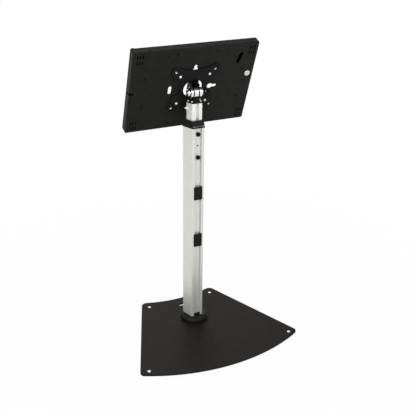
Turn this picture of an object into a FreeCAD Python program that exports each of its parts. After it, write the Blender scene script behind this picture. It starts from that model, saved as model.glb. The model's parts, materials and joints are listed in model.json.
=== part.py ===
import FreeCAD, Part
import math
import os

# Tablet kiosk floor stand, millimetres.
# The origin is on the floor under the column. +Z is up, the screen faces -Y, and
# +X is to the right of a person who faces the screen.
# Every part of the head is drawn upright, with x along the screen's width, z up
# the screen and y out of its back, and is then leaned back about the hinge.

os.makedirs("parts", exist_ok=True)
V = FreeCAD.Vector
X = V(1, 0, 0)
Y = V(0, 1, 0)
Z = V(0, 0, 1)

# Clearances
running_gap = 0.05
slide_clearance = 0.3
seat_gap = 0.1
saddle_gap = 0.05

# How far a cutting shape reaches past what it cuts
over = 0.5
far = 300.0
least_radius = 0.5

# Base plate: a ring sector, concave in front and convex behind
base_thickness = 5.0
base_outer_radius = 478.0
base_front_radius = 298.0
base_rear_reach = 224.7
base_front_reach = 101.9
base_half_width = 153.2
base_side_angle = 21.9
base_front_corner_radius = 15.0
base_rear_corner_radius = 11.0
narrow_hole_setback = 7.9
wide_hole_setback = 57.8
floor_hole_side_inset = 22.8
floor_hole_radius = 3.5
floor_hole_sink = 5.0
base_slot_length = 30.0
base_slot_width = 9.5
base_slot_y = -69.5

# Screw heads: the rounding of the rim and the socket's width, as shares of the head
head_rounding = 0.4
socket_share = 0.8

# Rubber pads under the base
pad_height = 1.0
pad_radius = 11.0
pad_inset = 24.0
centre_pad_radius = 4.0

# Outer tube: flat rear face, sides that spread towards the front
tube_rear = 18.0
tube_front = 18.0
tube_rear_width = 31.0
tube_side_angle = 18.4
tube_wall = 2.5
tube_length = 547.5
tube_rear_radius = 3.0
tube_front_radius = 4.0

# Cable channel down the rear face
channel_width = 17.0
channel_depth = 5.0
channel_floor = 2.5
channel_wall = 2.0
channel_undercut = 0.9
channel_undercut_height = 1.7

# Inner tube
slide_gap = 2.8
rear_slide_gap = 0.5
inner_wall = 2.0
inner_length = 520.0
inner_rear_radius = 2.5
inner_front_radius = 3.0
inner_groove_width = 8.6
inner_groove_depth = 6.0
inner_groove_wall = 1.8
mast_extension = 41.6

# Screw ports inside the inner tube, for the head cap
port_radius = 3.0
port_core_radius = 1.65
rear_port_x = 11.3
rear_port_y = 3.9
front_port_x = 15.4
front_port_y = -9.3

# Plastic collar on top of the outer tube
collar_height = 17.0
collar_skirt = 4.5
collar_bottom_spread = 1.5
collar_top_spread = 3.4

# Plastic glides between the tubes
upper_glide_length = 38.0
glide_rear = 8.0
tail_glide_length = 30.0
tail_glide_floor = 3.0
tail_glide_ledge = 2.0

# Foot collar and the block that holds the outer tube
foot_collar_radius = 36.0
foot_collar_rim = 8.5
foot_collar_height = 16.0
foot_collar_top_radius = 30.5
foot_collar_rounding = 3.0
foot_tongue_height = 21.0
foot_block_height = 28.0
foot_bolt_radius = 3.0
foot_bolt_head_radius = 6.0
foot_bolt_length = 24.0
foot_bolt_socket = 4.0
foot_bolt_socket_depth = 2.2
foot_bolt_front_x = 15.0
foot_bolt_front_y = -8.0
foot_bolt_rear_x = 9.0
foot_bolt_rear_y = 5.0
grub_radius = 2.5
grub_length = 6.0
grub_x = 13.0
grub_height = 8.0

# Hexagon screws that lock the height
upper_lock_height = 533.0
lock_screw_pitch = 59.0
lock_screw_radius = 3.0
lock_head_across = 10.0
lock_head_height = 4.5
lock_head_crown = 0.9
lock_insert_wall = 0.9
lock_insert_length = 6.0
lock_insert_flange = 1.6
lock_insert_flange_height = 0.6
spare_hole_radius = 2.0

# Cable clips
clip_height = 34.5
clip_width = 22.4
clip_face = 2.0
clip_leg = 1.8
clip_corner = 1.4
clip_toe = 0.6
clip_toe_height = 1.2
upper_clip_height = 380.0
lower_clip_height = 249.5

# Head cap, neck and knuckles
cap_thickness = 3.0
cap_overhang = 0.8
neck_rise = 22.0
neck_depth = 18.0
neck_foot_width = 13.0
neck_foot_height = 4.0
cap_screw_radius = 1.6
cap_screw_head_radius = 2.5
cap_screw_head_height = 1.3
cap_screw_length = 14.0
stop_screw_radius = 2.0
stop_screw_head_radius = 2.5
stop_screw_head_height = 2.8
stop_screw_drop = 14.1
stop_screw_y = -8.2
hinge_shift = 2.1
knuckle_radius = 12.5
knuckle_chamfer = 0.6
centre_knuckle_width = 10.2
outer_knuckle_width = 6.0
friction_washer_width = 2.8
friction_washer_radius = 10.0
hinge_bolt_radius = 4.0
hinge_bolt_head_radius = 7.8
hinge_bolt_head_height = 2.8
hinge_washer_thickness = 3.6
hinge_washer_radius = 8.5
hinge_nut_across = 13.0
hinge_nut_height = 6.8
hinge_bolt_end = 2.4

# Tilt bracket: a strip inside the enclosure, with two ears that come out through the round hole
tilt_angle = 20.0
hinge_offset = 16.4
hinge_above_centre = 1.4
bracket_thickness = 3.0
bracket_shift = -1.85
bracket_half_width = 13.05
bracket_height = 64.0
bracket_corner = 4.0
ear_width = 2.5
ear_reach = 15.0
ear_top = 20.0
ear_bottom = -10.6
bracket_screw_x = 8.5
bracket_screw_z = 28.2
bracket_screw_radius = 2.5
bracket_screw_head_radius = 4.4
bracket_screw_head_height = 1.8
bracket_screw_cover = 1.0

# Mounting plate: screws in the 75 mm square, open holes in the 100 mm square
plate_thickness = 3.5
plate_half_width = 59.5
plate_half_height = 62.7
plate_corner = 9.0
plate_end_waist = 51.5
plate_end_dip_half = 49.0
plate_side_waist = 49.0
plate_side_dip_half = 47.0
plate_notch_half = 14.5
plate_notch_waist = 35.0
plate_notch_corner = 5.0
plate_notch_lip = 3.0
cable_hole_radius = 24.5
wide_pattern = 100.0
narrow_pattern = 75.0
wide_hole_radius = 2.5
vesa_screw_radius = 2.0
vesa_screw_head_radius = 3.1
vesa_screw_head_height = 2.0
vesa_nut_radius = 4.0
vesa_nut_height = 2.6

# Tablet enclosure
case_width = 314.0
case_height = 221.0
case_depth = 19.6
hinge_side_extra = 2.0
case_corner = 3.5
case_edge = 1.8
sheet = 1.5
door_depth = 10.0
seam = 0.5
hinge_return = 9.5
door_end_gap = 0.8
window_side_border = 57.0
window_end_border = 35.5
window_corner = 4.0

# Door hinge
rod_radius = 1.25
barrel_radius = 2.6
barrel_end_setback = 9.0
rod_end_setback = 2.25
barrel_gap = 0.3

# Openings in the back of the enclosure
side_slot_x = 58.4
side_slot_width = 8.2
side_slot_height = 21.5
keyhole_radius = 6.8
keyhole_slot_width = 7.6
side_keyhole_x = -45.2
side_keyhole_end = 62.3
top_keyhole_z = 49.0
top_keyhole_end = 63.2
bottom_slot_z = -58.4
camera_side_inset = 45.2
camera_top_inset = 39.1
camera_width = 10.5
camera_length = 30.0
camera_lean = 15.0
vent_width = 3.0
vent_height = 9.5
vent_pitch = 6.4
vent_side_inset = 16.2
vent_top_insets = [13.5, 28.5]
vent_bottom_insets = [12.5, 26.5]
notch_height = 5.6
notch_reach = 11.0
notch_depth = 12.5
spare_stud_radius = 1.6
# x and the distance below the top edge, then the distances in from the side and the bottom edge
top_spare_holes = [(72.6, 17.0), (-58.4, 17.8), (-78.0, 18.1)]
side_spare_holes = [(28.3, 51.0), (19.2, 32.5)]

# Cam lock
lock_side_inset = 16.0
lock_z = 25.5
lock_flange_radius = 7.2
lock_flange_height = 2.0
lock_body_radius = 6.0
lock_core_radius = 4.6
lock_core_recess = 0.2
key_slot_width = 1.3
key_slot_length = 5.6
key_slot_depth = 1.4
lock_nut_across = 15.0
lock_nut_height = 3.0
cam_thickness = 1.7
cam_width = 8.0
cam_length = 13.0
cam_gap = 0.3
cam_screw_radius = 1.5
cam_screw_head_radius = 3.0
cam_screw_head_height = 1.6
catch_thickness = 1.5
catch_height = 14.0
catch_reach = 6.6

# Stops that centre the tablet, with foam
stop_side_room = 30.0
stop_end_room = 19.5
stop_foot = 8.5
stop_top_gap = 2.8
side_stop_length = 96.0
end_stop_length = 124.0
side_stud_setback = 9.0
end_stud_setback = 11.5
side_stud_inset = 3.3
end_stud_inset = 4.4
stud_radius = 1.5
stud_head_radius = 2.6
stud_head_height = 0.5
stud_nut_across = 5.5
stud_nut_height = 2.4
foam_thickness = 1.8
foam_gap = 0.5
gasket_width = 8.0
gasket_thickness = 2.0
backing_radius = 11.0
backing_height = 5.0
backing_side_room = 39.0
backing_end_room = 35.0

# Heights worked out from the sizes above
base_bottom = pad_height
base_top = base_bottom + base_thickness
tube_top = base_top + tube_length
collar_bottom = tube_top - collar_skirt
collar_top = collar_bottom + collar_height
inner_top = collar_top + mast_extension
inner_bottom = inner_top - inner_length
cap_top = inner_top + cap_thickness
hinge_height = cap_top + neck_rise

# Places of the floor holes
side_spread = math.tan(math.radians(base_side_angle))
narrow_hole_y = narrow_hole_setback - base_front_reach
wide_hole_y = base_rear_reach - wide_hole_setback
narrow_hole_x = base_half_width + side_spread * narrow_hole_y - floor_hole_side_inset
wide_hole_x = base_half_width + side_spread * wide_hole_y - floor_hole_side_inset

# Depths of the column's layers, measured from the axis
side_slope = math.radians(tube_side_angle)
tube_side = math.cos(side_slope) * tube_rear_width / 2 + math.sin(side_slope) * tube_rear
channel_bottom = tube_rear - channel_depth
channel_back = channel_bottom - channel_floor
inner_rear = channel_back - rear_slide_gap
inner_front = tube_front - tube_wall - slide_gap
inner_inset = tube_wall + slide_gap
groove_bottom = inner_rear - inner_groove_depth

# Layers of the head, measured along y from the plate's rear face
case_rear = -plate_thickness
case_inside = case_rear - sheet
case_front = case_rear - case_depth
door_inside = case_front + sheet
door_edge = case_front + door_depth
shell_edge = door_edge + seam
hinge_side_x = case_width / 2 + hinge_side_extra
return_x = hinge_side_x - hinge_return
rod_x = hinge_side_x - sheet - barrel_gap - barrel_radius
rod_y = case_front + barrel_radius
barrel_half = case_height / 2 - barrel_end_setback

# Places on the enclosure, measured in from its edges
case_half_width = case_width / 2
case_half_height = case_height / 2
window_width = case_width - window_side_border * 2
window_height = case_height - window_end_border * 2
camera_x = camera_side_inset - case_half_width
camera_z = case_half_height - camera_top_inset
vent_centre_x = case_half_width - vent_side_inset
vent_rows = [case_half_height - inset for inset in vent_top_insets]
vent_rows += [inset - case_half_height for inset in vent_bottom_insets]
spare_stud_holes = [(x, case_half_height - inset) for x, inset in top_spare_holes]
spare_stud_holes += [(side - case_half_width, low - case_half_height) for side, low in side_spare_holes]
lock_x = lock_side_inset - case_half_width
stop_half_width = case_half_width - stop_side_room
stop_half_height = case_half_height - stop_end_room
side_stud_z = side_stop_length / 2 - side_stud_setback
end_stud_x = end_stop_length / 2 - end_stud_setback
backing_x = stop_half_width - backing_side_room
backing_z = stop_half_height - backing_end_room


def cylinder(radius, length, start, direction):
    return Part.makeCylinder(radius, length, start, direction)


def hole(radius, length, start, direction):
    """A round cutter that reaches a little past both ends of its hole."""
    return cylinder(radius, length + over * 2, start - direction * over, direction)


def block(low, high):
    size = high - low
    return Part.makeBox(size.x, size.y, size.z, low)


def box_about(width, depth, height, centre):
    half = V(width / 2, depth / 2, height / 2)
    return block(centre - half, centre + half)


def join(shapes):
    result = shapes[0]
    for shape in shapes[1:]:
        result = result.fuse(shape)
    return result.removeSplitter()


def group(shapes):
    return Part.makeCompound(shapes)


def mirrored(shape):
    return shape.mirror(V(0, 0, 0), X)


def rounded_wire(points, radii):
    """A closed outline with each corner rounded to its own radius."""
    starts = []
    ends = []
    middles = []
    count = len(points)
    for i in range(count):
        corner = points[i]
        before = (points[i - 1] - corner).normalize()
        after = (points[(i + 1) % count] - corner).normalize()
        if radii[i] <= 0:
            starts.append(corner)
            ends.append(corner)
            middles.append(None)
            continue
        half = before.getAngle(after) / 2
        reach = radii[i] / math.tan(half)
        centre = corner + (before + after).normalize() * (radii[i] / math.sin(half))
        starts.append(corner + before * reach)
        ends.append(corner + after * reach)
        middles.append(centre + (corner - centre).normalize() * radii[i])
    edges = []
    for i in range(count):
        if middles[i] is not None:
            edges.append(Part.Arc(starts[i], middles[i], ends[i]).toShape())
        next_start = starts[(i + 1) % count]
        if ends[i].distanceToPoint(next_start) > 1e-6:
            edges.append(Part.makeLine(ends[i], next_start))
    return Part.Wire(edges)


def column_wire(inset, rear, front, rear_radius, front_radius, height):
    """The column's outline, moved in from the outer tube's faces."""
    side = tube_side - inset
    rear_half = (side - math.sin(side_slope) * rear) / math.cos(side_slope)
    front_half = (side + math.sin(side_slope) * front) / math.cos(side_slope)
    points = [
        V(rear_half, rear, height),
        V(-rear_half, rear, height),
        V(-front_half, -front, height),
        V(front_half, -front, height),
    ]
    return rounded_wire(points, [rear_radius, rear_radius, front_radius, front_radius])


def column_prism(inset, rear, front, rear_radius, front_radius, low, high):
    wire = column_wire(inset, rear, front, rear_radius, front_radius, low)
    return Part.Face(wire).extrude(Z * (high - low))


def outer_prism(grow, low, high):
    return column_prism(
        -grow, tube_rear + grow, tube_front + grow,
        tube_rear_radius + grow, tube_front_radius + grow, low, high)


def cavity_prism(shrink, low, high):
    return column_prism(
        tube_wall + shrink, tube_rear - tube_wall - shrink, tube_front - tube_wall - shrink,
        max(tube_rear_radius - tube_wall, least_radius),
        max(tube_front_radius - tube_wall, least_radius),
        low, high)


def inner_prism(grow, low, high):
    return column_prism(
        inner_inset - grow, inner_rear + grow, inner_front + grow,
        inner_rear_radius + grow, inner_front_radius + grow, low, high)


def channel_block(grow, low, high):
    """The space that the channel's walls take from the tube's inside."""
    half = channel_width / 2 + channel_undercut + channel_wall + grow
    return block(V(-half, channel_back - grow, low), V(half, far, high))


def plate(width, height, corner, low_y, high_y):
    """A flat plate in the head's own frame, with rounded corners."""
    half_x = width / 2
    half_z = height / 2
    points = [V(half_x, low_y, half_z), V(-half_x, low_y, half_z),
              V(-half_x, low_y, -half_z), V(half_x, low_y, -half_z)]
    return Part.Face(rounded_wire(points, [corner] * 4)).extrude(Y * (high_y - low_y))


def pill(width, length, low_y, high_y):
    """An upright slot with round ends."""
    straight = (length - width) / 2
    radius = width / 2
    depth = high_y - low_y
    shapes = [box_about(width, depth, straight * 2, V(0, (low_y + high_y) / 2, 0))]
    for side in (-1, 1):
        shapes.append(cylinder(radius, depth, V(0, low_y, side * straight), Y))
    return join(shapes)


def hexagon(across, length, start, direction):
    radius = across / math.sqrt(3)
    corners = [V(radius * math.cos(math.radians(60 * i)), radius * math.sin(math.radians(60 * i)), 0)
               for i in range(6)]
    solid = Part.Face(Part.makePolygon(corners + [corners[0]])).extrude(Z * length)
    solid.Placement = FreeCAD.Placement(start, FreeCAD.Rotation(Z, direction))
    return solid


def round_screw(radius, length, head_radius, head_height, seat, outwards):
    """A round-headed screw: its head stands on the seat, its shank goes in."""
    head = cylinder(head_radius, head_height, seat, outwards)
    top = seat + outwards * head_height
    rim = [edge for edge in head.Edges if edge.Closed and edge.CenterOfMass.distanceToPoint(top) < 1e-4]
    head = head.makeFillet(min(head_height, head_radius) * head_rounding, rim)
    socket = hexagon(head_radius * socket_share, head_height, top - outwards * head_height / 2, outwards)
    shank = cylinder(radius, length, seat - outwards * length, outwards)
    return head.fuse(shank).removeSplitter().cut(socket)


def on_head(shape):
    """Leans a piece of the head back about the hinge."""
    moved = shape.copy()
    moved.translate(V(0, -hinge_offset, -hinge_above_centre))
    moved.rotate(V(0, 0, 0), X, -tilt_angle)
    moved.translate(V(0, 0, hinge_height))
    return moved


def on_hinge(shape):
    """Moves a piece of the hinge to the side, where its middle stands."""
    moved = shape.copy()
    moved.translate(X * hinge_shift)
    return moved


def save(name, shape):
    shape.exportStep("parts/" + name + ".step")


# Base plate, pads and floor holes

def base_outline(low, high):
    rear_centre = V(0, base_rear_reach - base_outer_radius, low)
    front_centre = V(0, -base_front_reach - base_front_radius, low)
    rear_half = base_half_width + far * side_spread
    corners = [V(0, -base_half_width / side_spread, low), V(rear_half, far, low), V(-rear_half, far, low)]
    wedge = Part.Face(Part.makePolygon(corners + [corners[0]])).extrude(Z * (high - low))
    solid = wedge.common(cylinder(base_outer_radius, high - low, rear_centre, Z))
    solid = solid.cut(cylinder(base_front_radius, high - low, front_centre, Z))
    upright = [edge for edge in solid.Edges
               if abs(edge.BoundBox.ZLength - (high - low)) < 1e-4 and edge.BoundBox.XLength < 1e-4]
    front = [edge for edge in upright if edge.CenterOfMass.y < 0]
    rear = [edge for edge in upright if edge.CenterOfMass.y > 0]
    solid = solid.makeFillet(base_front_corner_radius, front)
    upright = [edge for edge in solid.Edges
               if any(edge.CenterOfMass.distanceToPoint(old.CenterOfMass) < 1e-4 for old in rear)]
    return solid.makeFillet(base_rear_corner_radius, upright)


def floor_hole_places():
    places = []
    for side in (-1, 1):
        places.append(V(side * narrow_hole_x, narrow_hole_y, 0))
        places.append(V(side * wide_hole_x, wide_hole_y, 0))
    return places


def foot_bolt_places():
    places = []
    for side in (-1, 1):
        places.append(V(side * foot_bolt_front_x, foot_bolt_front_y, 0))
        places.append(V(side * foot_bolt_rear_x, foot_bolt_rear_y, 0))
    return places


def countersink(radius, top_radius, place, low, direction):
    depth = top_radius - radius
    return Part.makeCone(top_radius, radius, depth, place + Z * low, direction)


def make_base_plate():
    solid = base_outline(base_bottom, base_top)
    for place in floor_hole_places():
        solid = solid.cut(hole(floor_hole_radius, base_thickness, place + Z * base_bottom, Z))
        solid = solid.cut(countersink(floor_hole_radius, floor_hole_sink, place, base_top, -Z))
    slot = pill(base_slot_width, base_slot_length, 0, base_thickness)
    slot.rotate(V(0, 0, 0), Y, 90)
    slot.rotate(V(0, 0, 0), X, 90)
    slot.translate(V(0, base_slot_y, base_bottom))
    solid = solid.cut(slot)
    for place in foot_bolt_places():
        solid = solid.cut(hole(foot_bolt_radius + seat_gap, base_thickness, place + Z * base_bottom, Z))
        solid = solid.cut(countersink(
            foot_bolt_radius + seat_gap, foot_bolt_head_radius + seat_gap, place, base_bottom, Z))
    return solid


def make_base_pads():
    pads = []
    for place in floor_hole_places():
        towards = V(0, (narrow_hole_y + wide_hole_y) / 2, 0) - place
        centre = place + towards.normalize() * pad_inset
        pads.append(cylinder(pad_radius, pad_height, centre, Z))
    pads.append(cylinder(pad_radius, pad_height, V(0, base_rear_reach - pad_inset, 0), Z))
    pads.append(cylinder(centre_pad_radius, pad_height, V(0, 0, 0), Z))
    return group(pads)


def make_base_bolts():
    bolts = []
    for place in foot_bolt_places():
        head = countersink(foot_bolt_radius, foot_bolt_head_radius, place, base_bottom, Z)
        shank = cylinder(foot_bolt_radius, foot_bolt_length, place + Z * base_bottom, Z)
        socket = hexagon(foot_bolt_socket, foot_bolt_socket_depth, place + Z * base_bottom, Z)
        bolts.append(head.fuse(shank).removeSplitter().cut(socket))
    return group(bolts)


# Outer tube with its channel

def make_outer_tube():
    solid = outer_prism(0, base_top, tube_top)
    hollow = cavity_prism(0, base_top, tube_top).cut(channel_block(0, base_top, tube_top))
    solid = solid.cut(hollow)
    half = channel_width / 2
    mouth = block(V(-half, channel_bottom, base_top), V(half, far, tube_top))
    under = block(
        V(-half - channel_undercut, channel_bottom, base_top),
        V(half + channel_undercut, channel_bottom + channel_undercut_height, tube_top))
    solid = solid.cut(mouth).cut(under)
    insert_radius = lock_screw_radius + lock_insert_wall + running_gap
    for height in lock_heights():
        solid = solid.cut(hole(insert_radius, channel_floor, V(0, channel_back, height), Y))
    middle = sum(lock_heights()) / 2
    solid = solid.cut(hole(spare_hole_radius, channel_floor, V(0, channel_back, middle), Y))
    for place in grub_places():
        solid = solid.cut(hole(grub_radius + running_gap, tube_wall, place, Y))
    return solid


def grub_places():
    return [V(side * grub_x, -tube_front, base_top + grub_height) for side in (-1, 1)]


def lock_heights():
    return [upper_lock_height, upper_lock_height - lock_screw_pitch]


def make_upper_glide():
    low = tube_top - upper_glide_length
    solid = cavity_prism(0, low, tube_top).cut(inner_prism(slide_clearance, low, tube_top))
    return solid.cut(block(V(-far, glide_rear, low), V(far, far, tube_top)))


def make_top_collar():
    bottom = column_wire(
        -collar_bottom_spread, tube_rear + collar_bottom_spread, tube_front + collar_bottom_spread,
        tube_rear_radius, tube_front_radius, collar_bottom)
    top = column_wire(
        inner_inset - collar_top_spread, inner_rear + collar_top_spread, inner_front + collar_top_spread,
        inner_rear_radius, inner_front_radius, collar_top)
    solid = Part.makeLoft([bottom, top], True, True)
    solid = solid.cut(outer_prism(seat_gap, collar_bottom - over, tube_top))
    return solid.cut(inner_prism(slide_clearance, collar_bottom - over, collar_top + over))


def make_foot_block():
    solid = cavity_prism(seat_gap, base_top, base_top + foot_block_height)
    solid = solid.cut(channel_block(seat_gap, base_top, base_top + foot_block_height))
    for place in foot_bolt_places():
        start = place + Z * base_bottom
        solid = solid.cut(cylinder(foot_bolt_radius + running_gap, foot_bolt_length, start, Z))
    for place in grub_places():
        solid = solid.cut(cylinder(grub_radius + running_gap, grub_length, place, Y))
    return solid


def make_foot_grub_screws():
    screws = []
    for place in grub_places():
        body = cylinder(grub_radius, grub_length, place, Y)
        screws.append(body.cut(hexagon(grub_radius, grub_radius, place, Y)))
    return group(screws)


def make_foot_collar():
    low = base_top
    rim = low + foot_collar_rim
    high = low + foot_collar_height
    profile = rounded_wire(
        [V(0, 0, low), V(foot_collar_radius, 0, low), V(foot_collar_radius, 0, rim),
         V(foot_collar_top_radius, 0, high), V(0, 0, high)],
        [0, 0, foot_collar_rounding, foot_collar_rounding / 2, 0])
    solid = Part.Face(profile).revolve(V(0, 0, 0), Z, 360)
    solid = solid.cut(outer_prism(seat_gap, low, high))
    half = channel_width / 2 - seat_gap
    tongue = block(
        V(-half, channel_bottom + seat_gap, low),
        V(half, tube_rear + seat_gap * 2, low + foot_tongue_height))
    return solid.fuse(tongue).removeSplitter()


# Height lock

def insert_seat():
    return channel_bottom + lock_insert_flange_height


def make_lock_inserts():
    inserts = []
    outer = lock_screw_radius + lock_insert_wall
    flange_radius = outer + lock_insert_flange
    for height in lock_heights():
        end = V(0, insert_seat() - lock_insert_length, height)
        sleeve = cylinder(outer, lock_insert_length, end, Y)
        flange = cylinder(flange_radius, lock_insert_flange_height, V(0, channel_bottom, height), Y)
        bore = hole(lock_screw_radius + running_gap, lock_insert_length, end, Y)
        inserts.append(sleeve.fuse(flange).removeSplitter().cut(bore))
    return group(inserts)


def make_lock_screw(height):
    seat = V(0, insert_seat(), height)
    head = hexagon(lock_head_across, lock_head_height, seat, Y)
    corner_radius = lock_head_across / math.sqrt(3)
    crown = Part.makeCone(
        corner_radius + lock_head_height, corner_radius - lock_head_crown,
        lock_head_height + lock_head_crown, seat, Y)
    head = head.common(crown)
    length = insert_seat() - groove_bottom - slide_clearance
    shank = cylinder(lock_screw_radius, length, seat - Y * length, Y)
    return head.fuse(shank).removeSplitter()


# Cable clips

def make_cable_clip(height):
    half = clip_width / 2
    face_rear = tube_rear + clip_face
    points = [V(half, tube_rear, 0), V(half, face_rear, 0), V(-half, face_rear, 0), V(-half, tube_rear, 0)]
    low = height - clip_height / 2
    face = Part.Face(rounded_wire(points, [0, clip_corner, clip_corner, 0]))
    solid = face.extrude(Z * clip_height)
    leg_out = channel_width / 2 - seat_gap
    toe_top = channel_bottom + clip_toe_height + seat_gap
    for side in (-1, 1):
        inside = side * (leg_out - clip_leg)
        outside = side * leg_out
        leg = block(
            V(min(inside, outside), channel_bottom + seat_gap, 0),
            V(max(inside, outside), tube_rear, clip_height))
        toe_end = side * (leg_out + clip_toe)
        toe = block(
            V(min(outside, toe_end), channel_bottom + seat_gap, 0),
            V(max(outside, toe_end), toe_top, clip_height))
        solid = solid.fuse(leg).fuse(toe)
    solid.translate(Z * low)
    return solid.removeSplitter()


# Inner tube and what it carries

def port_places():
    places = []
    for side in (-1, 1):
        places.append(V(side * rear_port_x, rear_port_y, 0))
        places.append(V(side * front_port_x, front_port_y, 0))
    return places


def stop_screw_seats():
    """Where the stop screws' heads stand on the slanted sides."""
    side = tube_side - inner_inset
    x = (side - math.sin(side_slope) * stop_screw_y) / math.cos(side_slope)
    height = inner_top - stop_screw_drop
    outwards = V(math.cos(side_slope), math.sin(side_slope), 0)
    seats = []
    for sign in (-1, 1):
        seats.append((V(sign * x, stop_screw_y, height), V(sign * outwards.x, outwards.y, 0)))
    return seats


def make_inner_tube():
    low = inner_bottom
    high = inner_top
    outside = inner_prism(0, low, high)
    hollow = column_prism(
        inner_inset + inner_wall, inner_rear - inner_wall, inner_front - inner_wall,
        max(inner_rear_radius - inner_wall, least_radius),
        max(inner_front_radius - inner_wall, least_radius),
        low, high)
    groove_half = inner_groove_width / 2
    rib_half = groove_half + inner_groove_wall
    rib = block(V(-rib_half, groove_bottom - inner_groove_wall, low), V(rib_half, inner_rear, high))
    hollow = hollow.cut(rib)
    for place in port_places():
        hollow = hollow.cut(cylinder(port_radius, high - low, place + Z * low, Z))
    solid = outside.cut(hollow)
    solid = solid.cut(block(V(-groove_half, groove_bottom, low), V(groove_half, far, high)))
    for place in port_places():
        solid = solid.cut(cylinder(port_core_radius, high - low, place + Z * low, Z))
    for seat, outwards in stop_screw_seats():
        bottom = seat - outwards * inner_wall
        solid = solid.cut(cylinder(stop_screw_radius + running_gap, inner_wall * 2, bottom, outwards))
    return solid


def make_stop_screws():
    screws = []
    for seat, outwards in stop_screw_seats():
        screws.append(round_screw(
            stop_screw_radius, inner_wall, stop_screw_head_radius, stop_screw_head_height, seat, outwards))
    return group(screws)


def make_tail_glide():
    low = inner_bottom - tail_glide_floor
    high = inner_bottom + tail_glide_length
    sleeve = cavity_prism(slide_clearance, low, high)
    sleeve = sleeve.cut(inner_prism(seat_gap, inner_bottom, high))
    sleeve = sleeve.cut(block(V(-far, glide_rear, low), V(far, far, high)))
    groove_half = inner_groove_width / 2 + seat_gap
    sleeve = sleeve.cut(block(V(-groove_half, groove_bottom - seat_gap, low), V(groove_half, far, high)))
    rim = inner_wall + tail_glide_ledge
    window = column_prism(
        inner_inset + rim, groove_bottom - rim, inner_front - rim,
        least_radius, least_radius, low, inner_bottom)
    return sleeve.cut(window)


def make_head_cap():
    low = inner_top
    solid = column_prism(
        inner_inset - cap_overhang, inner_rear + cap_overhang, inner_front + cap_overhang,
        inner_rear_radius, inner_front_radius, low, cap_top)
    foot = block(
        V(hinge_shift - neck_foot_width / 2, -neck_depth / 2, low),
        V(hinge_shift + neck_foot_width / 2, neck_depth / 2, cap_top + neck_foot_height))
    neck = block(
        V(hinge_shift - centre_knuckle_width / 2, -neck_depth / 2, low),
        V(hinge_shift + centre_knuckle_width / 2, neck_depth / 2, hinge_height - knuckle_radius / 2))
    solid = solid.fuse(foot).fuse(neck).removeSplitter()
    solid = solid.cut(cylinder(knuckle_radius + saddle_gap, far * 2, V(-far, 0, hinge_height), X))
    for place in port_places():
        solid = solid.cut(hole(cap_screw_radius + seat_gap, cap_thickness, place + Z * low, Z))
    return solid


def make_cap_screws():
    screws = []
    for place in port_places():
        screws.append(round_screw(
            cap_screw_radius, cap_screw_length, cap_screw_head_radius, cap_screw_head_height,
            place + Z * cap_top, Z))
    return group(screws)


# Hinge: the axis runs along X through the hinge height

def ring(outer, inner, start_x, end_x):
    solid = cylinder(outer, end_x - start_x, V(start_x, 0, hinge_height), X)
    return solid.cut(cylinder(inner, end_x - start_x, V(start_x, 0, hinge_height), X))


def knuckle(start_x, end_x):
    solid = ring(knuckle_radius, hinge_bolt_radius + running_gap, start_x, end_x)
    rims = [edge for edge in solid.Edges if edge.Closed and edge.Curve.Radius > hinge_bolt_radius * 2]
    return solid.makeChamfer(knuckle_chamfer, rims)


centre_end = centre_knuckle_width / 2
outer_start = centre_end + friction_washer_width
outer_end = outer_start + outer_knuckle_width
washer_end = outer_end + hinge_washer_thickness


def make_centre_knuckle():
    return knuckle(-centre_end, centre_end)


def make_friction_washers():
    washer = ring(friction_washer_radius, hinge_bolt_radius + running_gap, centre_end, outer_start)
    return group([washer, mirrored(washer)])


def make_outer_knuckles():
    return group([knuckle(outer_start, outer_end), knuckle(-outer_end, -outer_start)])


def make_hinge_washers():
    washer = ring(hinge_washer_radius, hinge_bolt_radius + running_gap, outer_end, washer_end)
    return group([washer, mirrored(washer)])


def make_hinge_bolt():
    tail = washer_end + hinge_nut_height + hinge_bolt_end
    seat = V(washer_end, 0, hinge_height)
    return round_screw(
        hinge_bolt_radius, washer_end + tail, hinge_bolt_head_radius, hinge_bolt_head_height, seat, X)


def make_hinge_nut():
    start = V(-washer_end, 0, hinge_height)
    nut = hexagon(hinge_nut_across, hinge_nut_height, start, -X)
    return nut.cut(cylinder(hinge_bolt_radius + running_gap, hinge_nut_height, start, -X))


def make_tilt_bracket():
    low_y = case_inside - bracket_thickness
    solid = plate(bracket_half_width * 2, bracket_height, bracket_corner, low_y, case_inside)
    solid.translate(X * bracket_shift + Z * hinge_above_centre)
    for side in (-1, 1):
        near = side * outer_start
        far = side * (outer_start + ear_width)
        ear = block(
            V(min(near, far), low_y, ear_bottom),
            V(max(near, far), ear_reach, ear_top))
        solid = solid.fuse(on_hinge(ear))
    solid = solid.removeSplitter()
    axis_start = V(-far, hinge_offset, hinge_above_centre)
    solid = solid.cut(on_hinge(cylinder(knuckle_radius + saddle_gap, far * 2, axis_start, X)))
    for place in bracket_screw_places():
        solid = solid.cut(hole(bracket_screw_radius + seat_gap, bracket_thickness, place + Y * low_y, Y))
    return solid


def bracket_screw_places():
    places = []
    for x in (bracket_shift - bracket_screw_x, bracket_shift + bracket_screw_x):
        for z in (-bracket_screw_z, bracket_screw_z):
            places.append(V(x, 0, z))
    return places


def make_bracket_screws():
    screws = []
    for place in bracket_screw_places():
        screws.append(round_screw(
            bracket_screw_radius, bracket_thickness - case_inside - bracket_screw_cover,
            bracket_screw_head_radius, bracket_screw_head_height,
            place + Y * (case_inside - bracket_thickness), -Y))
    return group(screws)


# Mounting plate

def square(size):
    places = []
    for x in (-size / 2, size / 2):
        for z in (-size / 2, size / 2):
            places.append(V(x, 0, z))
    return places


def dip_radius(depth, half_length):
    """The radius of an arc that dips this far into a straight edge."""
    return (half_length ** 2 + depth ** 2) / (2 * depth)


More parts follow.
